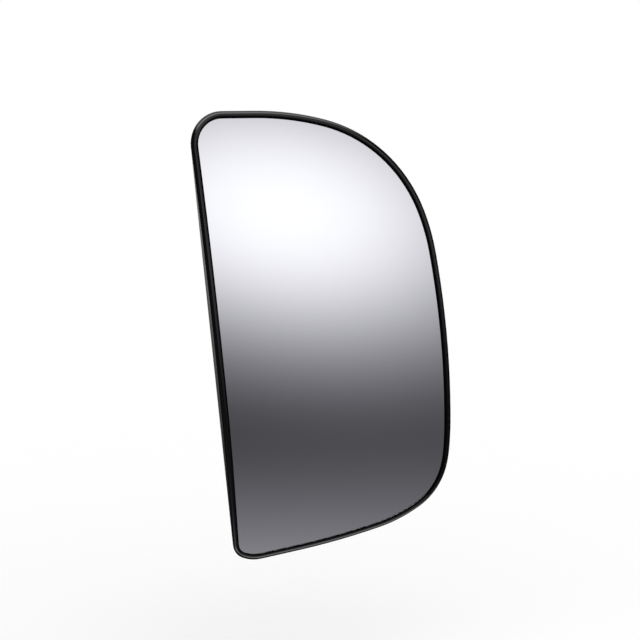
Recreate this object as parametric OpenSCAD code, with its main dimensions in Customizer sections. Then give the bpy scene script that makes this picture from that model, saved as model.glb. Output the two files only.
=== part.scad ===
// Glass for a car door mirror: a convex mirror pane, the foam sheet behind it and the black moulded plate
// that frames the pane and snaps onto the mirror's tilting drive. Millimetres.
// X runs to the right of the face, Z up, and the face looks along -Y.
// The origin is on the axis of the clip ring, halfway along the straight lands of its hooks.

/* [Face outline] */
// Height of the whole part, rim included
face_h = 207.1; // [198:0.1:222]
// Width of the whole part, rim included
face_w = 128.5; // [120:0.1:142]
// How far the straight left edge leans from the vertical, in degrees
left_lean = 5.73; // [4:0.01:7]
// How far the straight run of the lower edge rises towards the right, in degrees
keel_rise = 6.95; // [5:0.01:8]
// Radius of the upper flank, as a share of the height
flank_share = 2.355; // [2:0.005:2.6]
// Radius where the flank turns into the shoulder, as a share of the height
knee_share = 0.498; // [0.45:0.001:0.56]
// Radius of the big shoulder, as a share of the height
shoulder_share = 0.3515; // [0.33:0.0005:0.38]
// Radius of the crown beside the shoulder, as a share of the height
crown_share = 0.6735; // [0.6:0.0005:0.9]
// Radius of the upper left corner
top_corner_r = 14.7; // [10:0.1:18]
// Radius of the lower left corner
low_corner_r = 7.8; // [5:0.1:10]
// Radius of the heel beside that corner
heel_r = 17.4; // [14:0.1:24]
// Radius of the keel, the long lower edge, as a share of the height
keel_share = 1.98; // [1.2:0.01:2.2]
// Radius of the bilge, where the keel starts to turn up
bilge_r = 74; // [60:1:85]
// Radius of the lower right corner
right_corner_r = 30.1; // [25:0.1:34]
// Radius just above the lower right corner
wale_r = 58.2; // [50:0.1:66]
// Radius of the lower flank, as a share of the height
low_flank_share = 0.816; // [0.75:0.002:1]

// Straight run of the upper edge, as a share of the height
top_run_share = 0.0734; // [0.03:0.0002:0.1]
// Straight run of the lower edge, as a share of the height
low_run_share = 0.0916; // [0.05:0.0002:0.2]
// Straight run of the right edge, as a share of the height
right_run_share = 0.0096; // [0.005:0.0002:0.03]

/* [Mirror pane] */
// Radius of the sphere the pane is bent to
curve_r = 1200; // [1000:50:1800]
// Thickness of the pane
glass_t = 2; // [1.8:0.1:2.4]
// Gap between the pane's edge and the frame wall
glass_gap = 0.2; // [0.1:0.05:0.4]
// Gap between the pane's face and the lip that covers its edge
lip_gap = 0.05; // [0.03:0.01:0.1]

/* [Foam sheet] */
// Thickness of the foam sheet
pad_t = 0.8; // [0.6:0.1:1.2]
// Distance from the frame wall to the edge of the foam sheet
pad_gap = 2.5; // [1.5:0.1:4]

/* [Rim of the plate] */
// Width of the rim as seen from the front
rim_w = 3.35; // [3:0.05:3.8]
// Width of the rim along the lower edge
rim_low_w = 2.65; // [2.5:0.05:3]
// Height over which the rim widens, upwards from the lower edge
widen_h = 66; // [50:1:90]
// How far the rim stands in front of the pane
lip_h = 1.1; // [0.9:0.05:1.4]
// Radius of the round outer edge of the rim
bead_r = 1.35; // [1.2:0.05:1.4]
// Radius of the inner edge of the rim
lip_r = 0.9; // [0.4:0.05:0.95]
// Thickness of the frame wall around the pane
wall_t = 1.5; // [1.4:0.05:1.7]
// How far the skirt stands back inside the round edge
skirt_in = 0.5; // [0.4:0.05:0.6]
// Depth of the flat back edge of the skirt behind the front of the pane's middle
skirt_d = 6.85; // [6:0.05:8]
// Least depth of that edge behind the pane's face, reached at the corners
skirt_least = 1.8; // [1.4:0.05:2.6]

/* [Back of the plate] */
// Thickness of the plate
plate_t = 1.8; // [1.6:0.1:2.4]
// Height of the ribs
rib_h = 2; // [1.6:0.1:2.6]
// Thickness of the ribs
rib_t = 1.2; // [1:0.1:1.6]
// Distance between neighbouring ribs
rib_pitch = 30; // [28:1:34]
// Distance from the outline to the ends of the ribs
rib_in = 5; // [4:0.5:9]

/* [Clip ring] */
// Depth of the whole part behind the front of the pane's middle
ring_d = 17; // [16:0.5:19]
// Inner radius of the clip ring
ring_r = 24; // [22:0.5:26]
// Wall of the clip ring
ring_t = 1.8; // [1.6:0.1:2.2]
// Number of snap fingers
fingers = 4; // [3:1:5]
// Angle taken by one finger
finger_deg = 34; // [32:1:38]
// Width of the slots beside each finger
slot_w = 1.6; // [1.4:0.1:2]
// How far the hooks reach inwards
hook_in = 1.1; // [0.8:0.1:1.4]
// Height of the hooks
hook_h = 2.6; // [2.2:0.1:3]
// Height of the straight land on the hooks, which the drive's neck passes
hook_land = 1; // [0.8:0.1:1.2]

/* [Pivot and drive sockets] */
// Radius of the round seat in the middle
seat_r = 8; // [7:0.5:9]
// Wall of the seat
seat_t = 1.8; // [1.6:0.1:2.2]
// Height of the seat above the plate
seat_h = 2; // [1.6:0.1:2.4]
// Radius of the ball cavity in each drive socket
ball_r = 4; // [3.6:0.1:4.4]
// Radius of the mouth of each drive socket
mouth_r = 3.6; // [3.3:0.1:3.5]
// Wall of each drive socket
socket_t = 2; // [1.8:0.1:2.4]
// Distance from the middle to each drive socket
socket_at = 36; // [35:0.5:38]
// How far the drive sockets end in front of the fingertips
socket_back = 3; // [2.5:0.1:4]

/* [Hidden] */
mouth_share = 0.92;
mouth = min(mouth_r, ball_r * mouth_share);
sphere_fn = 360;
round_fn = 72;
small_fn = 36;
catch_y = -hook_land / 2;
tip_y = catch_y + hook_h;
apex_y = tip_y - ring_d;
seam = 0.01;
pad_v = glass_t;
plate_v = glass_t + pad_t;
back_v = plate_v + plate_t;
rib_v = back_v + rib_h;
mid_v = plate_v + plate_t / 2;
bite = 0.06;
heel_clear = 0.4;
ledge_clear = 0.3;
heel_v = back_v + heel_clear;
ledge_v = plate_v - ledge_clear;
frame_t = wall_t + skirt_in;
skirt_y = apex_y + skirt_d;
end_y = tip_y - socket_back;
throat = 1;
ball_y = end_y - throat - sqrt(ball_r * ball_r - mouth * mouth);
dish_share = 0.7;
seat_end = apex_y + back_v + seat_h;
dish_r = seat_r * dish_share;
dish_y = seat_end + sqrt(seat_r * seat_r - dish_r * dish_r);
slot_share = 0.72;
window_share = 0.8;
tip_blunt = 0.3;
petal_slot = 1.2;
sockets = [[-socket_at, 0], [0, -socket_at]];

// Outline: twelve arcs that meet without a kink, with four straight runs between them.
// Each arc goes counterclockwise from the end angle of the one before it.
arc_r = [flank_share * face_h, knee_share * face_h, shoulder_share * face_h, crown_share * face_h,
    top_corner_r, low_corner_r, heel_r, keel_share * face_h, bilge_r, right_corner_r, wale_r,
    low_flank_share * face_h];
run = [0, 0, 0, top_run_share * face_h, 0, 0, low_run_share * face_h, 0, 0, 0, 0, right_run_share * face_h];
flank_deg = 9.17;
knee_deg = 11.15;
shoulder_deg = 53.45;
low_corner_deg = 60.28;
keel_deg = 5.81;
bilge_deg = 17.44;
right_corner_deg = 48.98;
wale_deg = 7.59;
right_lean_deg = 2.08;
keel_start_deg = 270 + keel_rise;
arc_end = [right_lean_deg + flank_deg, right_lean_deg + flank_deg + knee_deg,
    right_lean_deg + flank_deg + knee_deg + shoulder_deg, 90, 180 + left_lean,
    180 + left_lean + low_corner_deg, keel_start_deg, keel_start_deg + keel_deg,
    keel_start_deg + keel_deg + bilge_deg, keel_start_deg + keel_deg + bilge_deg + right_corner_deg,
    keel_start_deg + keel_deg + bilge_deg + right_corner_deg + wale_deg, 360 + right_lean_deg];
arc_steps = [10, 5, 18, 8, 12, 7, 6, 6, 7, 12, 4, 5];
run_steps = [1, 1, 1, 2, 13, 1, 3, 1, 1, 1, 1, 1];
arcs = len(arc_r);
arc_names = ["flank", "knee", "shoulder", "crown", "top corner", "low corner", "heel", "keel", "bilge",
    "right corner", "wale", "low flank"];
function place_of(name) = search([name], arc_names)[0];
flank = place_of("flank");
knee = place_of("knee");
shoulder = place_of("shoulder");
crown = place_of("crown");
top_corner = place_of("top corner");
low_corner = place_of("low corner");
heel = place_of("heel");
keel = place_of("keel");
low_flank = place_of("low flank");

function arc_start(i) = i == 0 ? right_lean_deg : arc_end[i - 1];
function out(t) = [cos(t), sin(t)];
function along(t) = [-sin(t), cos(t)];
function swing(r, a, b) = r * (out(b) - out(a));
function total(v, i = 0) = i == len(v) ? [0, 0] : v[i] + total(v, i + 1);
function reach(i) = swing(arc_r[i], arc_start(i), arc_end[i]) + run[i] * along(arc_end[i]);

// The long left run follows from the height. Three stretches of the rest are scaled so that the outline
// closes at the width: the top with its crown, the right side with its flanks, and the low run with its keel.
left_run = (face_h + swing(top_corner_r, 90, 180 + left_lean)[1] + reach(low_corner)[1]
    + swing(heel_r, arc_end[low_corner], 270)[1]) / cos(left_lean);
top_reach = reach(crown);
side_reach = reach(flank) + reach(knee) + reach(low_flank);
low_reach = run[heel] * along(arc_end[heel]) + reach(keel);
side_width = (reach(flank) + reach(knee) + swing(arc_r[low_flank], 360, arc_end[low_flank])
    + run[low_flank] * along(arc_end[low_flank]))[0];
function kept(i) = i == shoulder || i > crown && i < keel || i > keel && i < low_flank;
set_reach = total([for (i = [0 : arcs - 1]) if (kept(i)) swing(arc_r[i], arc_start(i), arc_end[i])])
    + left_run * along(180 + left_lean);
set_width = (swing(top_corner_r, 90, 180) + reach(shoulder))[0];

// Cramer's rule for the three scales
function det(a, b, c) = a * cross(b, c);
top_row = [top_reach[0], top_reach[1], top_reach[0]];
side_row = [side_reach[0], side_reach[1], side_width];
low_row = [low_reach[0], low_reach[1], 0];
need_row = -[set_reach[0], set_reach[1], set_width + face_w];
whole = det(top_row, side_row, low_row);
top_scale = det(need_row, side_row, low_row) / whole;
side_scale = det(top_row, need_row, low_row) / whole;
low_scale = det(top_row, side_row, need_row) / whole;
fit_scale = [side_scale, side_scale, 1, top_scale, 1, 1, 1, low_scale, 1, 1, 1, side_scale];
fit_r = [for (i = [0 : arcs - 1]) arc_r[i] * fit_scale[i]];
fit_run = [for (i = [0 : arcs - 1])
    i == top_corner ? left_run : i == heel ? run[i] * low_scale : run[i] * fit_scale[i]];

function raw_centre(i) = i == 0 ? [0, 0]
    : raw_centre(i - 1) + (fit_r[i - 1] - fit_r[i]) * out(arc_end[i - 1])
        + fit_run[i - 1] * along(arc_end[i - 1]);
shift = [(raw_centre(low_flank)[0] + fit_r[low_flank] + raw_centre(top_corner)[0] - top_corner_r) / 2,
    (raw_centre(top_corner)[1] + top_corner_r + raw_centre(heel)[1] - heel_r) / 2];
centre = [for (i = [0 : arcs - 1]) raw_centre(i) - shift];

// One record for each point of the outline: the point and the direction that faces out of it
rail = [for (i = [0 : arcs - 1], k = [0 : arc_steps[i] + run_steps[i] - 1])
    let (bend = min(k, arc_steps[i]) / arc_steps[i],
        t = arc_start(i) + bend * (arc_end[i] - arc_start(i)),
        go = max(0, k - arc_steps[i]) / run_steps[i])
    if (k < arc_steps[i] || fit_run[i] > 0)
        [centre[i] + fit_r[i] * out(t) + go * fit_run[i] * along(t), out(t)]];
rails = len(rail);
function outline(o) = [for (p = rail) p[0] + o * p[1]];

// Rim section: each entry is how far out, how deep behind the pane's face, and the share of the skirt
function ease(t) = t * t * (3 - 2 * t);
function widening(p, n) = ease(min(1, (p[1] + face_h / 2) / widen_h)) * (1 - pow(max(0, -n[1]), 2));
function lip_w(p, n) = rim_low_w + (rim_w - rim_low_w) * widening(p, n);
function deep(p, v) = apex_y + curve_r - sqrt(pow(curve_r - v, 2) - p[0] * p[0] - p[1] * p[1]);
bead_v = bead_r - lip_h;
function quarter(cu, cv, r, a, b, steps) = [for (k = [0 : steps])
    [cu + r * cos(a + k / steps * (b - a)), cv - r * sin(a + k / steps * (b - a))]];
function section(w) = concat([[-w, -lip_gap]],
    quarter(-w + lip_r, -lip_h + lip_r, lip_r, 180, 90, 4),
    quarter(-bead_r, bead_v, bead_r, 90, 0, 6),
    quarter(-bead_r, bead_v, bead_r, -15, -45, 2));
function skirt_depth(p, v) = max(deep(p, v), skirt_y);
brim = max([for (p = rail) norm(p[0])]);
brim_y = apex_y + curve_r - sqrt(curve_r * curve_r - brim * brim);
function at(p, y) = [p[0], y, p[1]];
function rim_row(s) = let (p = s[0], n = s[1], a = p - skirt_in * n, b = p - frame_t * n,
        c = p - wall_t * n)
    concat([for (q = section(lip_w(p, n))) at(p + q[0] * n, deep(p + q[0] * n, q[1]))],
        [at(a, skirt_depth(a, skirt_least)), at(b, skirt_depth(b, heel_v)),
            at(b, deep(b, ledge_v)), at(c, deep(c, ledge_v)),
            at(c, deep(c, -lip_gap))]);
rim_points = [for (s = rail) each rim_row(s)];
row = len(rim_points) / rails;

// One module for each node of the frame, in the order of the record's materials

module slab(o, y0, y1) rotate([90, 0, 0]) translate([0, 0, -y1]) linear_extrude(height = y1 - y0)
    polygon(outline(o));

// Everything behind the sphere that lies at one depth behind the pane's face
module behind(v) translate([0, apex_y + curve_r, 0]) sphere(r = curve_r - v, $fn = sphere_fn);

// A solid cylinder along Y between two depths
module post(r, y0, y1, fn = round_fn) rotate([90, 0, 0]) translate([0, 0, -y1])
    cylinder(r = r, h = y1 - y0, $fn = fn);

module rim() polyhedron(points = rim_points, faces = [for (i = [0 : rails - 1], k = [0 : row - 1])
    let (j = (i + 1) % rails, m = (k + 1) % row)
    each [[i * row + k, j * row + k, i * row + m], [i * row + m, j * row + k, j * row + m]]], convexity = 8);

module mirror_glass() color("silver") difference() {
    intersection() {
        slab(-wall_t - glass_gap, apex_y - seam, brim_y + plate_v);
        behind(0);
    }
    behind(glass_t);
}

module adhesive_pad() color("gray") difference() {
    intersection() {
        slab(-wall_t - pad_gap, apex_y - seam, brim_y + back_v);
        behind(pad_v);
    }
    behind(plate_v);
}

module shell(o, v0, v1) difference() {
    intersection() {
        slab(o, apex_y, brim_y + rib_v);
        behind(v0);
    }
    behind(v1);
}

// A wedge around the Y axis, as wide as the angle given; the profile is [radius, depth in front of the tips]
module sector(profile, deg) rotate([90, 0, 0]) rotate([0, 0, -deg / 2])
    rotate_extrude(angle = deg, $fn = round_fn) polygon(profile);

function box_pts(x0, x1, y0, y1) = [[x0, y0], [x1, y0], [x1, y1], [x0, y1]];
module each_finger() for (i = [0 : fingers - 1]) rotate([0, 45 + i * 360 / fingers, 0]) children();

module ribs() difference() {
    intersection() {
        slab(-rib_in, apex_y, brim_y + rib_v + rib_t);
        union() {
            for (i = [-floor(face_w / 2 / rib_pitch) : floor(face_w / 2 / rib_pitch)])
                translate([i * rib_pitch - rib_t / 2, apex_y, -face_h / 2]) cube([rib_t, ring_d, face_h]);
            for (i = [-floor(face_h / 2 / rib_pitch) : floor(face_h / 2 / rib_pitch)])
                translate([-face_w / 2, apex_y, i * rib_pitch - rib_t / 2]) cube([face_w, ring_d, rib_t]);
        }
    }
    behind(rib_v);
    post(ring_r + ring_t / 2, apex_y - seam, tip_y);
    for (p = sockets) translate([p[0], 0, p[1]]) post(ball_r + socket_t / 2, apex_y - seam, tip_y);
}

module ring() difference() {
    union() {
        difference() {
            post(ring_r + ring_t, apex_y, tip_y);
            post(ring_r, apex_y - seam, tip_y + seam);
        }
        each_finger() sector([[ring_r + ring_t / 2, -tip_y + tip_blunt], [ring_r + ring_t / 2, -catch_y],
            [ring_r - hook_in, -catch_y], [ring_r - hook_in, -catch_y - hook_land]], finger_deg);
    }
    each_finger() for (s = [-1, 1]) rotate([0, s * finger_deg / 2, 0])
        translate([ring_r - hook_in - ring_t, tip_y - (ring_d - back_v) * slot_share, -slot_w / 2])
            cube([hook_in + 3 * ring_t, ring_d, slot_w]);
}

module socket_body() difference() {
    post(ball_r + socket_t, apex_y, end_y, small_fn);
    for (a = [45, 135]) rotate([0, a, 0])
        translate([-ball_r - 2 * socket_t, ball_y - petal_slot, -petal_slot / 2])
            cube([2 * ball_r + 4 * socket_t, ring_d, petal_slot]);
}

module socket_cavity() {
    translate([0, ball_y, 0]) sphere(r = ball_r, $fn = small_fn);
    post(mouth, ball_y, tip_y, small_fn);
}

module backing_plate() color("black") difference() {
    union() {
        rim();
        shell(-frame_t + bite, plate_v, back_v);
        intersection() {
            behind(mid_v);
            union() {
                ribs();
                ring();
                post(dish_r + seat_t, apex_y, seat_end);
                for (p = sockets) translate([p[0], 0, p[1]]) socket_body();
            }
        }
    }
    each_finger() sector(box_pts(ring_r - 2 * hook_in, ring_r, -apex_y - back_v - rib_t, -apex_y),
        finger_deg * window_share);
    translate([0, dish_y, 0]) sphere(r = seat_r, $fn = round_fn);
    for (p = sockets) translate([p[0], 0, p[1]]) socket_cavity();
}

mirror_glass();
adhesive_pad();
backing_plate();
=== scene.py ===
"""Looks of a car door mirror glass: the convex pane, the foam behind it and the black moulded plate."""

from math import cos, radians, sin

import bpy
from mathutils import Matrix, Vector


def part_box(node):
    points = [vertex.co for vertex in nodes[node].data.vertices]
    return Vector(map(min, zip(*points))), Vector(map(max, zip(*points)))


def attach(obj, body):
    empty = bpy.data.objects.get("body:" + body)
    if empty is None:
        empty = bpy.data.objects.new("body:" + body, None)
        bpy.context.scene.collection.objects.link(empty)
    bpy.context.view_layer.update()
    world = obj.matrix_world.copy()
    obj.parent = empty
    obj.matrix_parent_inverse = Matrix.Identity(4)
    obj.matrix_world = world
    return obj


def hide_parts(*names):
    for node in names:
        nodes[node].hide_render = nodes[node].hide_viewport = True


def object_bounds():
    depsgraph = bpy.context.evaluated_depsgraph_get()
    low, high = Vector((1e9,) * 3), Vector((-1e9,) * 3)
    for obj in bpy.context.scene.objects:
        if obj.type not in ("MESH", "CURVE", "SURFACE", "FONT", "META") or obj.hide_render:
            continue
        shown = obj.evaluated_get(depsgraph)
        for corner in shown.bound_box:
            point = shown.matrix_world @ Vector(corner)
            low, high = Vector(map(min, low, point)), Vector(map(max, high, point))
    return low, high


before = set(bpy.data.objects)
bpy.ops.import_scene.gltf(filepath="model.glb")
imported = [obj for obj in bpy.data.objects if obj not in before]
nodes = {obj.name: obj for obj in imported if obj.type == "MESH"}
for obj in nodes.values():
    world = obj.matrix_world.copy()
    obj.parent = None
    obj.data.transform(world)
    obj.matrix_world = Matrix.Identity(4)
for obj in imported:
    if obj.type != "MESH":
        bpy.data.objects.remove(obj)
cad_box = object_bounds()

MM = 0.001

# The photograph's view
CAMERA_AZIMUTH = radians(-22.3)
CAMERA_HEIGHT = radians(8.49)
CAMERA_DISTANCE = 0.824
CAMERA_REACH = 100
SEEN_MM_PER_PIXEL = 0.46
FRAME_PIXELS = 640
SENSOR_MM = 36
FRAME_LOW_PIXELS = 14.5
FACE_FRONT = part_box("mirror_glass")[0][1]
AIM = Vector((-4.49 * MM, FACE_FRONT, 1.18 * MM))

# The sphere the pane is bent to
BEND_RADIUS = 1.2
BEND_CENTRE = Vector((0, FACE_FRONT + BEND_RADIUS, 0))

# Lip of the rim beside the pane, with depths counted back from the pane's face
LIP_DEPTH = (-1.3 * MM, -0.1 * MM)
# Sine of the lean to the pane from which the lip gets painted shade, and what the lower edge adds to it
LIP_TURN = sin(radians(6))
LOW_LIP_TURN = sin(radians(10))
# Sine of the lean from which its front is eased back, how far, and the share the lower edge takes off
LIP_SLOPE_TURN = sin(radians(2.5))
LIP_SLOPE_DROP = 0.26 * MM
LOW_EDGE_SHARE = 1.35

# Edges and shading of the moulded plate
MERGE_DISTANCE = 0.001 * MM
SOFT_EDGE = 0.12 * MM
SOFT_EDGE_ANGLE = radians(50)
SOFT_EDGE_STEPS = 2
SMOOTH_ANGLE = radians(38)

# Mirror coating
COATING_TINT = (0.93, 0.928, 0.985, 1)
COATING_ROUGHNESS = 0.02

# Black plastic: polished at the rim and grained behind it
POLISHED_BLACK = (0.0022, 0.0022, 0.0024, 1)
GRAINED_BLACK = (0.012, 0.012, 0.0127, 1)
GRAIN_START = (1.5 * MM, 4 * MM)
FLOW_SCALE, FLOW_DETAIL = 45.0, 3.0
GRAIN_SCALE, GRAIN_DETAIL = 1600.0, 2.0
GRAIN_HEIGHT = 0.03 * MM
GRAIN_STRENGTH = 0.35
POLISHED_ROUGHNESS, POLISHED_FLOW = 0.08, 0.04
GRAINED_ROUGHNESS, GRAINED_FLOW, GRAINED_GRAIN = 0.17, 0.08, 0.06
PLASTIC_IOR = 1.5
PLASTIC_SHEEN = 0.4

# Painted shade on the lip beside the pane: a near-black, matte finish with almost no sheen
PAINTED_SHADE_BLACK = 0.0005
PAINTED_SHADE_ROUGHNESS = 0.9
PAINTED_SHADE_SHEEN = 0.02

# Foam tape
FOAM_WHITE = (0.62, 0.62, 0.6, 1)
FOAM_ROUGHNESS = 0.9
CELL_SCALE = 1400.0
CELL_HEIGHT = 0.2 * MM
CELL_STRENGTH = 0.5

# Floor
FLOOR_DROP = 0.06
FLOOR_FRONT = 0.07
FLOOR_REACH = 6.0

# The soft round light that the pane mirrors, in directions one unit long
LIGHT_AZIMUTH = 0.331
LIGHT_UP = 0.0133
LIGHT_WIDTH, LIGHT_LEAN = 0.2132, 0.0624
LIGHT_HEIGHT, LIGHT_TILT = 0.1177, 0.1204
LIGHT_FALL_OFF = 1.1678
LIGHT_LEVEL = 1.04
LIGHT_FRONT = (-0.1, 0.3)

# The room that the part mirrors: dim walls, a floor that brightens downwards, a ceiling and a sweep behind
WALL_LEVEL = 0.043
LOW_START, LOW_RISE = -0.2221, 5.1
UNDER_START, UNDER_RISE = -0.43, 13.0
UNDER_END = (-0.84, -0.7)
FLOOR_MOST = 3.6
BACK_HALF = (-0.5, -0.1)
CEILING_LEVEL, CEILING_DROP = 4.8, 3.6
CEILING_NARROWING = 0.55
CEILING_START = (0.1, 0.4)
SWEEP_LEVEL = 1.15
SWEEP_BACK = (0.8, 0.95)
SWEEP_UP = (-0.3, 0.03)
DIM_TINT = (1.0, 0.982, 1.05, 1)
LIT_TINT = (1.0, 1.006, 0.99, 1)


class Value:
    """A shader socket that takes part in Python sums."""

    def __init__(self, tree, socket):
        self.tree = tree
        self.socket = socket

    def maths(self, operation, *terms, clamp=False):
        node = self.tree.nodes.new("ShaderNodeMath")
        node.operation = operation
        node.use_clamp = clamp
        for place, term in zip(node.inputs, terms):
            if isinstance(term, Value):
                self.tree.links.new(term.socket, place)
            else:
                place.default_value = term
        return Value(self.tree, node.outputs[0])

    def __add__(self, other):
        return self.maths("ADD", self, other)

    def __radd__(self, other):
        return self.maths("ADD", other, self)

    def __sub__(self, other):
        return self.maths("SUBTRACT", self, other)

    def __rsub__(self, other):
        return self.maths("SUBTRACT", other, self)

    def __mul__(self, other):
        return self.maths("MULTIPLY", self, other)

    def __rmul__(self, other):
        return self.maths("MULTIPLY", other, self)

    def __truediv__(self, other):
        return self.maths("DIVIDE", self, other)

    def __pow__(self, other):
        return self.maths("POWER", self, other)

    def exponential(self):
        return self.maths("EXPONENT", self)

    def size(self):
        return self.maths("ABSOLUTE", self)

    def at_least(self, other):
        return self.maths("MAXIMUM", self, other)

    def at_most(self, other):
        return self.maths("MINIMUM", self, other)

    def clamp(self):
        return self.maths("ADD", self, 0.0, clamp=True)

    def above(self, low, high):
        """0 below one limit, 1 above the other and smooth between them."""
        node = self.tree.nodes.new("ShaderNodeMapRange")
        node.interpolation_type = "SMOOTHSTEP"
        node.inputs["From Min"].default_value = low
        node.inputs["From Max"].default_value = high
        self.tree.links.new(self.socket, node.inputs["Value"])
        return Value(self.tree, node.outputs["Result"])


class Shading:
    """The nodes of one material or world."""

    def __init__(self, owner):
        owner.use_nodes = True
        self.tree = owner.node_tree
        self.tree.nodes.clear()

    def node(self, kind, settings=None, inputs=None):
        made = self.tree.nodes.new("ShaderNode" + kind)
        for name, value in (settings or {}).items():
            setattr(made, name, value)
        for name, value in (inputs or {}).items():
            if isinstance(value, Value):
                self.tree.links.new(value.socket, made.inputs[name])
            elif isinstance(value, bpy.types.NodeSocket):
                self.tree.links.new(value, made.inputs[name])
            else:
                made.inputs[name].default_value = value
        return made

    def value(self, node, output=0):
        return Value(self.tree, node.outputs[output])

    def mix(self, factor, first, second):
        inputs = {"Factor": factor, "A": first, "B": second}
        return self.node("Mix", {"data_type": "RGBA"}, inputs).outputs["Result"]

    def noise(self, place, scale, detail):
        made = self.node("TexNoise", None, {"Vector": place, "Scale": scale, "Detail": detail})
        return self.value(made, "Fac")


def grey(level):
    return (level, level, level, 1)


def new_material(name):
    made = bpy.data.materials.new(name)
    return made, Shading(made)


def close(shading, surface, kind="OutputMaterial"):
    shading.node(kind, None, {"Surface": surface})


def pane_material():
    """Coated glass. The normal follows the sphere the pane is bent to, so the mirror image has no facets."""
    made, shading = new_material("Mirror coating")
    place = shading.node("TexCoord").outputs["Object"]
    outward = shading.node("VectorMath", {"operation": "SUBTRACT"}, {0: place, 1: BEND_CENTRE})
    outward = shading.node("VectorMath", {"operation": "NORMALIZE"}, {0: outward.outputs[0]})
    surface = shading.node("BsdfPrincipled", None, {
        "Base Color": COATING_TINT, "Metallic": 1.0, "Roughness": COATING_ROUGHNESS,
        "Normal": outward.outputs[0]})
    close(shading, surface.outputs[0])
    return made


def plastic_material():
    """Black moulded plastic: a polished rim and, further back, the fine grain of an eroded mould."""
    made, shading = new_material("Black moulded plastic")
    place = shading.node("TexCoord").outputs["Object"]
    span = shading.node("VectorMath", {"operation": "DISTANCE"}, {0: place, 1: BEND_CENTRE})
    depth = BEND_RADIUS - shading.value(span, "Value")
    grained = depth.above(*GRAIN_START)
    flow = shading.noise(place, FLOW_SCALE, FLOW_DETAIL)
    grain = shading.noise(place, GRAIN_SCALE, GRAIN_DETAIL)
    polished_rough = POLISHED_ROUGHNESS + POLISHED_FLOW * flow
    grained_rough = GRAINED_ROUGHNESS + GRAINED_FLOW * flow + GRAINED_GRAIN * grain
    bump = shading.node("Bump", None, {
        "Height": grain * grained, "Strength": GRAIN_STRENGTH, "Distance": GRAIN_HEIGHT})
    surface = shading.node("BsdfPrincipled", None, {
        "Base Color": shading.mix(grained, POLISHED_BLACK, GRAINED_BLACK),
        "Roughness": polished_rough + grained * grained_rough,
        "IOR": PLASTIC_IOR, "Specular IOR Level": PLASTIC_SHEEN, "Normal": bump.outputs[0]})
    close(shading, surface.outputs[0])
    return made


def painted_shade_material():
    """Painted shade where the pane's ground edge meets the lip: near-black, matte and hardly reflecting."""
    made, shading = new_material("Painted lip shade")
    surface = shading.node("BsdfPrincipled", None, {
        "Base Color": grey(PAINTED_SHADE_BLACK), "Roughness": PAINTED_SHADE_ROUGHNESS, "Specular IOR Level": PAINTED_SHADE_SHEEN})
    close(shading, surface.outputs[0])
    return made


def foam_material():
    """White closed-cell foam tape."""
    made, shading = new_material("White foam tape")
    place = shading.node("TexCoord").outputs["Object"]
    cells = shading.node("TexVoronoi", None, {"Vector": place, "Scale": CELL_SCALE})
    bump = shading.node("Bump", None, {
        "Height": cells.outputs["Distance"], "Strength": CELL_STRENGTH, "Distance": CELL_HEIGHT})
    surface = shading.node("BsdfPrincipled", None, {
        "Base Color": FOAM_WHITE, "Roughness": FOAM_ROUGHNESS, "Normal": bump.outputs[0]})
    close(shading, surface.outputs[0])
    return made


def floor_material():
    """A white floor that takes the part's shadow and that the part doesn't mirror."""
    made, shading = new_material("Pale floor")
    surface = shading.node("BsdfPrincipled", None, {
        "Base Color": grey(1.0), "Roughness": 1.0, "Specular IOR Level": 0.0})
    clear = shading.node("BsdfTransparent")
    paths = shading.node("LightPath")
    mixed = shading.node("MixShader", None, {
        0: paths.outputs["Is Glossy Ray"], 1: surface.outputs[0], 2: clear.outputs[0]})
    close(shading, mixed.outputs[0])
    return made


def wear(piece, material):
    piece.data.materials.clear()
    piece.data.materials.append(material)


def lean_of(point, normal):
    """How a surface leans away from the bend of the pane's face."""
    outward = (point - BEND_CENTRE).normalized()
    return normal - normal.dot(outward) * outward


def on_lip(point, normal, least):
    """Whether a surface near the pane's face leans to the pane's middle by more than the sine given."""
    lean = lean_of(point, normal)
    depth = BEND_RADIUS - (point - BEND_CENTRE).length
    inwards = lean.dot(Vector((point.x, 0, point.z))) < 0
    return LIP_DEPTH[0] < depth < LIP_DEPTH[1] and lean.length > least and inwards


def copy_plate():
    """The frame's plate as a piece of its own, with its triangles joined and its stored normals dropped."""
    bpy.ops.object.select_all(action="DESELECT")
    cad = nodes["backing_plate"]
    cad.select_set(True)
    bpy.context.view_layer.objects.active = cad
    bpy.ops.object.duplicate()
    piece = bpy.context.view_layer.objects.active
    piece.name = "moulded_plate"
    bpy.ops.object.mode_set(mode="EDIT")
    bpy.ops.mesh.select_all(action="SELECT")
    bpy.ops.mesh.remove_doubles(threshold=MERGE_DISTANCE)
    bpy.ops.object.mode_set(mode="OBJECT")
    bpy.ops.mesh.customdata_custom_splitnormals_clear()
    return piece


def paint_lip_shade(piece, painted_shade):
    """Paints shade on the steep inner lip by giving it the dark matte finish. Along the lower edge this part
    is narrower.
    """
    piece.data.materials.append(painted_shade)
    for face in piece.data.polygons:
        rise = lean_of(face.center, face.normal).normalized().z
        least = LIP_TURN + LOW_LIP_TURN * max(0, rise) ** 2
        # painted shade: these lip faces get the near-black matte finish
        if on_lip(face.center, face.normal, least):
            face.material_index = 1


def ease_lip(piece):
    """Leans the lip's front towards the pane, and slightly away from it along the lower edge."""
    moves = {}
    for vertex in piece.data.vertices:
        if on_lip(vertex.co, vertex.normal, LIP_SLOPE_TURN):
            inwards = lean_of(vertex.co, vertex.normal).normalized()
            share = 1 - LOW_EDGE_SHARE * max(0, inwards.z) ** 2
            moves[vertex.index] = share * LIP_SLOPE_DROP * (BEND_CENTRE - vertex.co).normalized()
    for index, move in moves.items():
        piece.data.vertices[index].co += move


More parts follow.
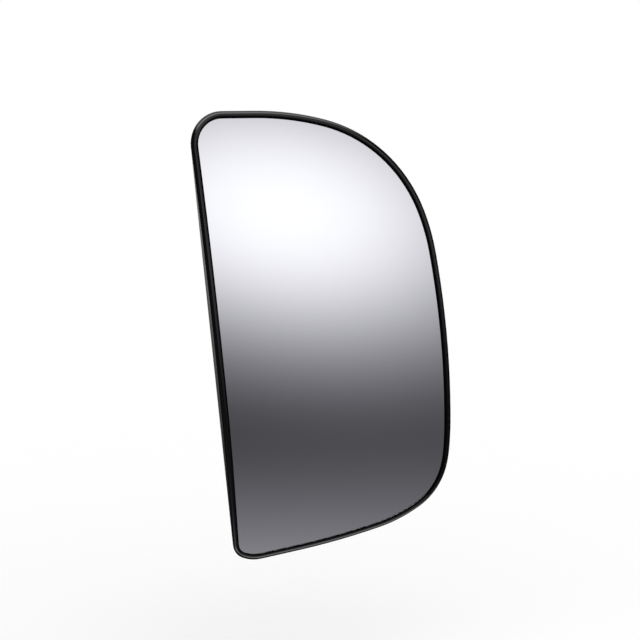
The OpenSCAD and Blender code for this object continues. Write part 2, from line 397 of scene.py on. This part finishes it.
def soften_edges(piece):
    edges = piece.modifiers.new("Soft edges", "BEVEL")
    edges.limit_method = "ANGLE"
    edges.angle_limit = SOFT_EDGE_ANGLE
    edges.width = SOFT_EDGE
    edges.segments = SOFT_EDGE_STEPS
    edges.use_clamp_overlap = True
    bpy.ops.object.modifier_apply(modifier=edges.name)
    bpy.ops.object.shade_smooth_by_angle(angle=SMOOTH_ANGLE)


def make_plate(material, painted_shade):
    """The moulded plate, which takes the place of the frame's own."""
    piece = copy_plate()
    wear(piece, material)
    # painted shade on the steep inner lip beside the pane
    paint_lip_shade(piece, painted_shade)
    ease_lip(piece)
    soften_edges(piece)
    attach(piece, "root")
    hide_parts("backing_plate")


def make_floor(material):
    low = cad_box[0][2] - FLOOR_DROP
    bpy.ops.object.select_all(action="DESELECT")
    bpy.ops.mesh.primitive_plane_add(size=1, location=(0, 0, 0))
    floor = bpy.context.view_layer.objects.active
    floor.name = "floor"
    for vertex in floor.data.vertices:
        across, back = vertex.co.x, vertex.co.y
        vertex.co = (across * 2 * FLOOR_REACH, FLOOR_REACH if back > 0 else -FLOOR_FRONT, low)
    wear(floor, material)


def soft_light(across, back, up):
    """The soft round light in front of the part, a little wider than high and slightly tilted."""
    high = up - LIGHT_UP
    side = cos(LIGHT_AZIMUTH) * across + sin(LIGHT_AZIMUTH) * back
    wide = (side + LIGHT_LEAN * high) / LIGHT_WIDTH
    tall = (high + LIGHT_TILT * side) / LIGHT_HEIGHT
    away = wide * wide + tall * tall
    glow = (away ** LIGHT_FALL_OFF * -0.5).exponential()
    return LIGHT_LEVEL * glow * (0 - back).above(*LIGHT_FRONT)


def studio(across, back, up):
    """The level of the room in each direction, without the soft light."""
    front = 1 - back.above(*BACK_HALF)
    low = (LOW_START - up).at_least(0.0)
    under = (UNDER_START - up).at_least(0.0)
    room = WALL_LEVEL + (LOW_RISE * low * low + UNDER_RISE * under) * front * up.above(*UNDER_END)
    overhead = (up - CEILING_NARROWING * across.size()).above(*CEILING_START)
    ceiling = (CEILING_LEVEL - CEILING_DROP * back.above(*BACK_HALF)) * overhead
    sweep = SWEEP_LEVEL * back.above(*SWEEP_BACK) * up.above(*SWEEP_UP)
    return room.at_most(FLOOR_MOST).at_least(ceiling.at_least(sweep))


def make_world():
    """The studio for what the part mirrors, and plain white for all else."""
    world = bpy.data.worlds.new("Studio")
    bpy.context.scene.world = world
    shading = Shading(world)
    look = shading.node("TexCoord").outputs["Generated"]
    parts = shading.node("SeparateXYZ", None, {0: look})
    across, back, up = (shading.value(parts, name) for name in "XYZ")
    level = studio(across, back, up) + soft_light(across, back, up)
    tint = shading.mix(level.clamp(), DIM_TINT, LIT_TINT)
    mirrored = shading.node("VectorMath", {"operation": "SCALE"}, {0: tint, "Scale": level})
    glossy = shading.node("LightPath").outputs["Is Glossy Ray"]
    colour = shading.mix(glossy, grey(1.0), mirrored.outputs[0])
    surface = shading.node("Background", None, {"Color": colour, "Strength": 1.0})
    close(shading, surface.outputs[0], "OutputWorld")


def make_camera():
    data = bpy.data.cameras.new("Camera")
    camera = bpy.data.objects.new("Camera", data)
    bpy.context.scene.collection.objects.link(camera)
    outward = Vector((sin(CAMERA_AZIMUTH) * cos(CAMERA_HEIGHT), -cos(CAMERA_AZIMUTH) * cos(CAMERA_HEIGHT),
        sin(CAMERA_HEIGHT)))
    camera.location = AIM + CAMERA_DISTANCE * outward
    camera.rotation_euler = (-outward).to_track_quat("-Z", "Y").to_euler()
    data.sensor_width = SENSOR_MM
    data.lens = SENSOR_MM * CAMERA_DISTANCE / (FRAME_PIXELS * SEEN_MM_PER_PIXEL * MM)
    data.shift_y = FRAME_LOW_PIXELS / FRAME_PIXELS
    data.clip_end = CAMERA_REACH
    bpy.context.scene.camera = camera


make_camera()
make_world()
wear(nodes["mirror_glass"], pane_material())
wear(nodes["adhesive_pad"], foam_material())
# The plate wears the black plastic and, on its steep inner lip, painted shade
make_plate(plastic_material(), painted_shade_material())
make_floor(floor_material())

bpy.context.scene.view_settings.view_transform = "Standard"
